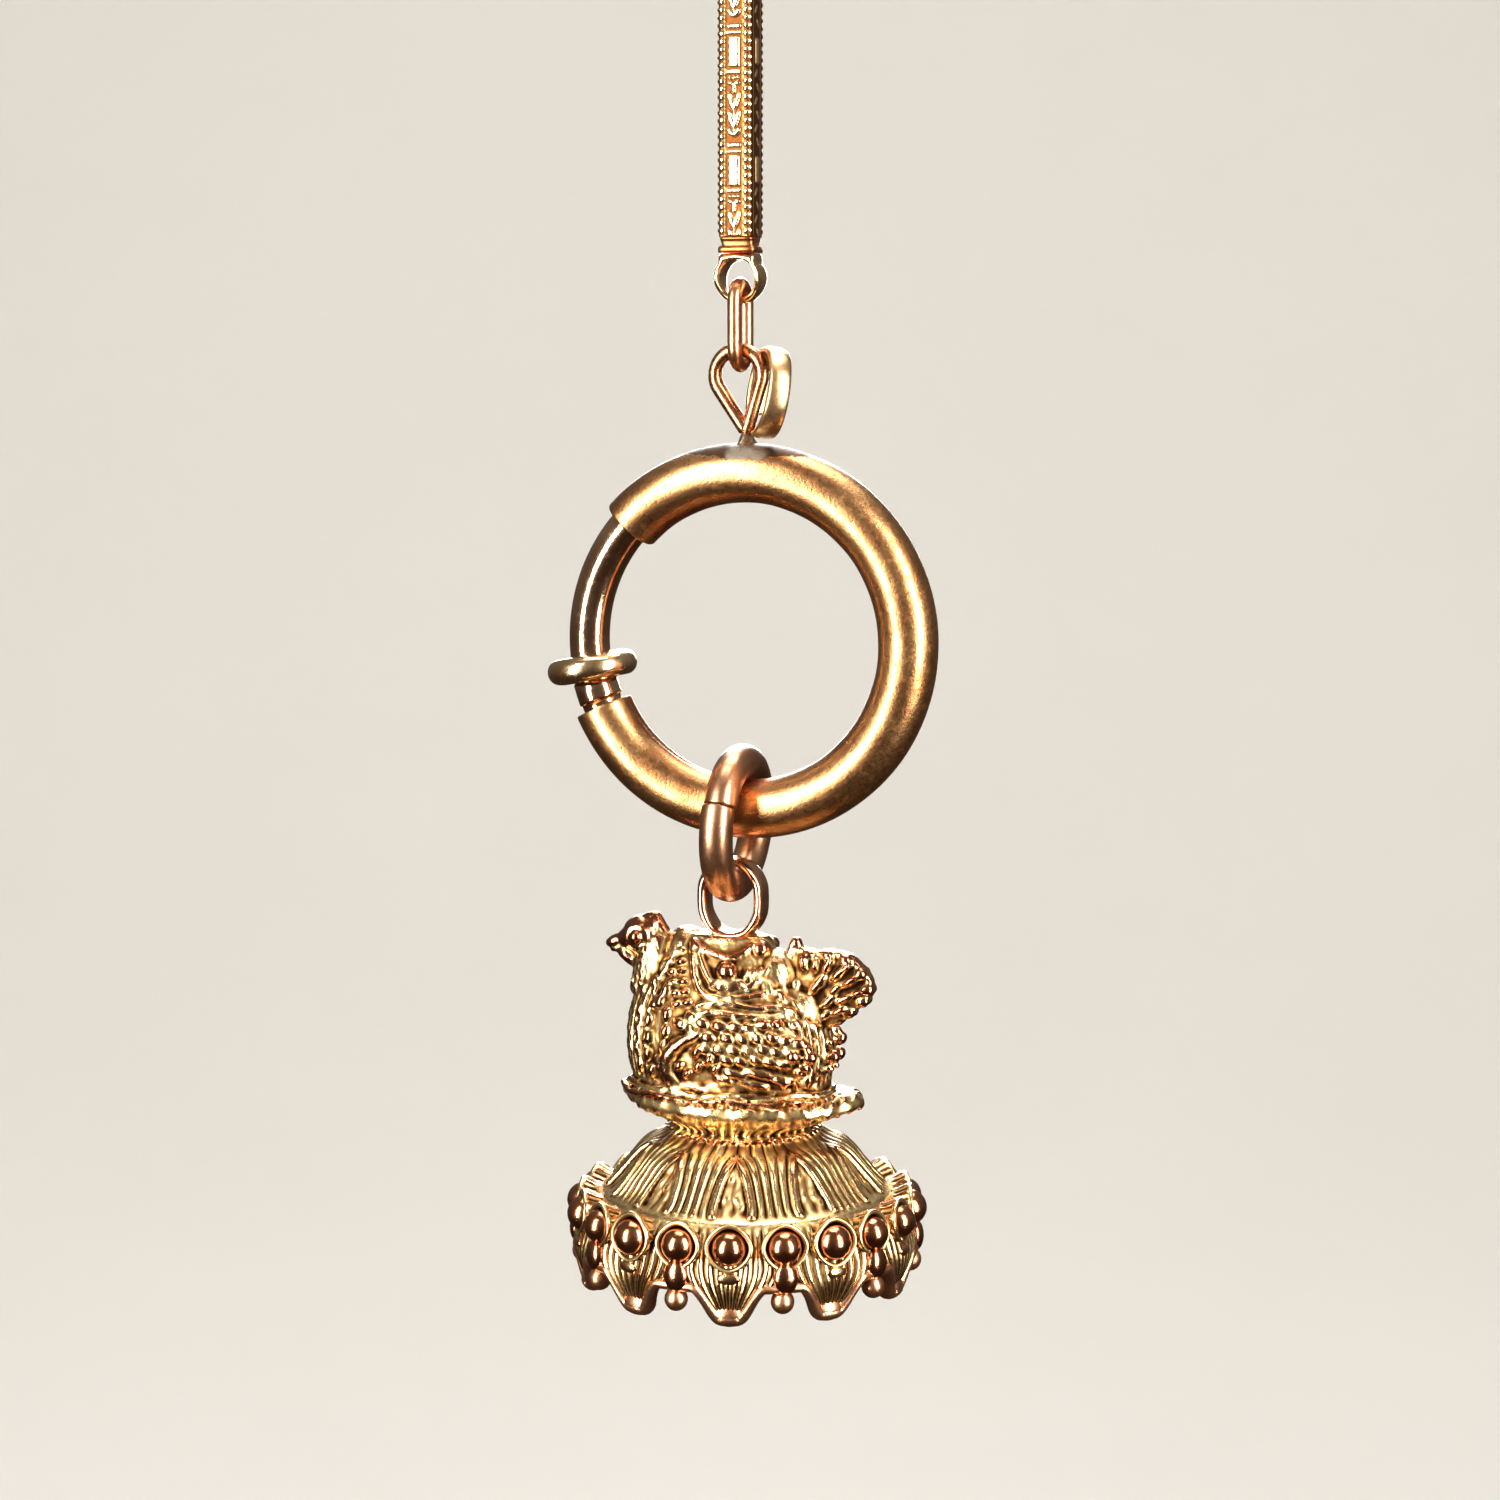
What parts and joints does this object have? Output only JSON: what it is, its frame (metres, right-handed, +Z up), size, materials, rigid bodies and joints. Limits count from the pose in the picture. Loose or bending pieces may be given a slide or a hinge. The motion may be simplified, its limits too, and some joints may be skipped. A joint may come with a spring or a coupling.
{
  "type": "fob seal on a bolt ring and watch-chain bar",
  "caption": "Cast fob seal with a sitting hen on a fluted, scalloped base, hanging by a jump ring from a bolt ring and the last engraved bar of a watch chain.",
  "frame": {"origin": "centre of the hole in the bar's top loop, where everything hangs", "axes": "+Z up along the hanging chain, -Y towards the front of the bolt ring and the hen's left side, +X towards the hen's tail"},
  "size_m": [0.0205, 0.0186, 0.079],
  "materials": {
    "bar_gold": "engraved, bright",
    "copper_wire": "worn, satin",
    "tube_gold": "antique, satin",
    "bolt_gold": "polished",
    "copper_ring": "worn, satin",
    "seal_gold": "cast, worn bright on the raised parts",
    "face_gold": "plain, satin"
  },
  "bodies": {
    "ring_and_chain": {"chain_bar": "bar_gold", "bar_link": "copper_wire", "bolt_ring": "tube_gold"},
    "bolt": {"bolt": "bolt_gold"},
    "jump_ring": {"jump_ring": "copper_ring"},
    "seal": {"seal": "seal_gold", "seal_face": "face_gold"}
  },
  "joints": [
    {"name": "bolt_slide", "type": "hinge", "parent": "ring_and_chain", "child": "bolt", "pos_m": [0.0003, 0, -0.04493], "axis": [0, 1, 0], "range_deg": [0, 42], "stiffness_Nm_per_rad": 0.0005, "springref_deg": -28.65},
    {"name": "jump_ring_swing", "type": "hinge", "parent": "ring_and_chain", "child": "jump_ring", "pos_m": [-0.00005, 0, -0.05338], "axis": [1, 0, 0], "range_deg": [-90, 90]},
    {"name": "seal_swing", "type": "hinge", "parent": "jump_ring", "child": "seal", "pos_m": [-0.0004, 0, -0.05731], "axis": [0, 1, 0], "range_deg": [-40, 40]}
  ]
}
